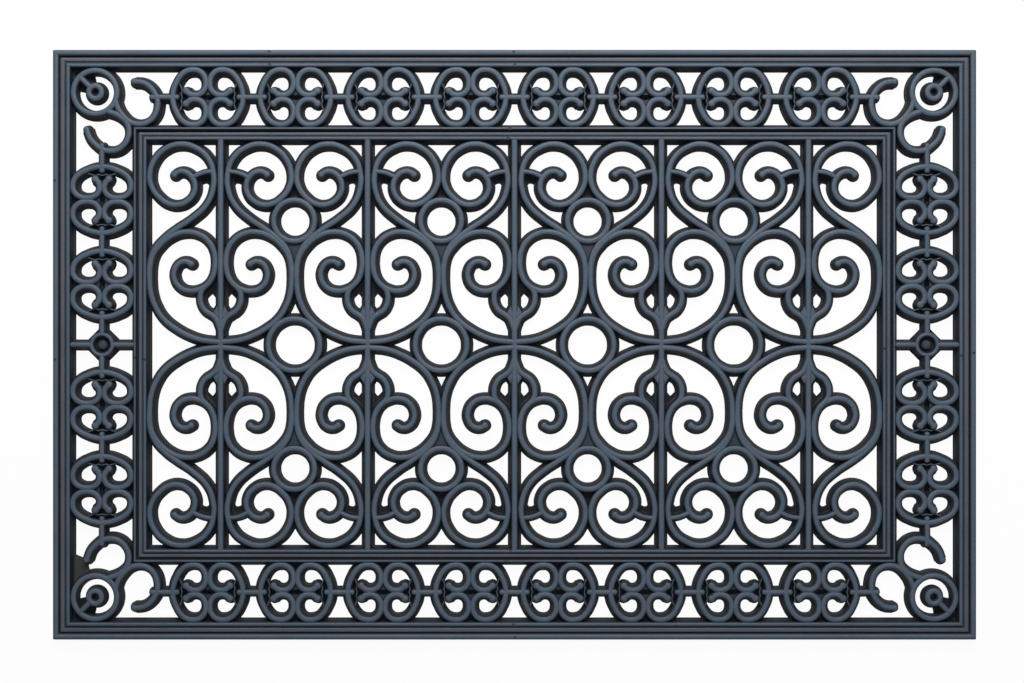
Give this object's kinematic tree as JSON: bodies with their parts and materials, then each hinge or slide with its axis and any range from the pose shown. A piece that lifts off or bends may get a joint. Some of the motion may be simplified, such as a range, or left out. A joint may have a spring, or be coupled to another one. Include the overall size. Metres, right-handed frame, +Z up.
{
  "type": "rubber door mat",
  "caption": "Flat openwork rubber door mat: a scrollwork field and a border of curled medallions between two rails, open so that dirt and water fall through.",
  "frame": {"origin": "on the floor under the middle of the mat", "axes": "+X along the mat's length, +Y across it towards the back edge, +Z up from the floor, out of the patterned face"},
  "size_m": [0.914, 0.584, 0.0095],
  "materials": {
    "rubber": "moulded rubber, satin, blue-black"
  },
  "bodies": {
    "root": {"outer_rail_back": "rubber", "outer_rail_front": "rubber", "outer_rail_left": "rubber", "outer_rail_right": "rubber", "inner_rail_back": "rubber", "inner_rail_front": "rubber", "inner_rail_left": "rubber", "inner_rail_right": "rubber", "stem_1": "rubber", "stem_2": "rubber", "stem_3": "rubber", "stem_4": "rubber", "stem_5": "rubber", "scrolls_back_1": "rubber", "scrolls_back_2": "rubber", "scrolls_back_3": "rubber", "scrolls_back_4": "rubber", "scrolls_back_5": "rubber", "scrolls_front_1": "rubber", "scrolls_front_2": "rubber", "scrolls_front_3": "rubber", "scrolls_front_4": "rubber", "scrolls_front_5": "rubber", "heart_curls_back_1": "rubber", "heart_curls_back_2": "rubber", "heart_curls_back_3": "rubber", "heart_curls_back_4": "rubber", "heart_curls_back_5": "rubber", "heart_curls_front_1": "rubber", "heart_curls_front_2": "rubber", "heart_curls_front_3": "rubber", "heart_curls_front_4": "rubber", "heart_curls_front_5": "rubber", "leaves_back": "rubber", "leaves_front": "rubber", "spurs_back": "rubber", "spurs_front": "rubber", "small_rings_back": "rubber", "small_rings_front": "rubber", "centre_rings": "rubber", "medallions_back": "rubber", "medallions_front": "rubber", "medallions_left": "rubber", "medallions_right": "rubber", "border_links_back": "rubber", "border_links_front": "rubber", "border_links_left": "rubber", "border_links_right": "rubber", "side_boss_left": "rubber", "side_boss_right": "rubber", "corner_ornament_back_left": "rubber", "corner_ornament_back_right": "rubber", "corner_ornament_front_left": "rubber", "corner_ornament_front_right": "rubber", "corner_button_back_left": "rubber", "corner_button_back_right": "rubber", "corner_button_front_left": "rubber", "corner_button_front_right": "rubber"}
  },
  "joints": []
}
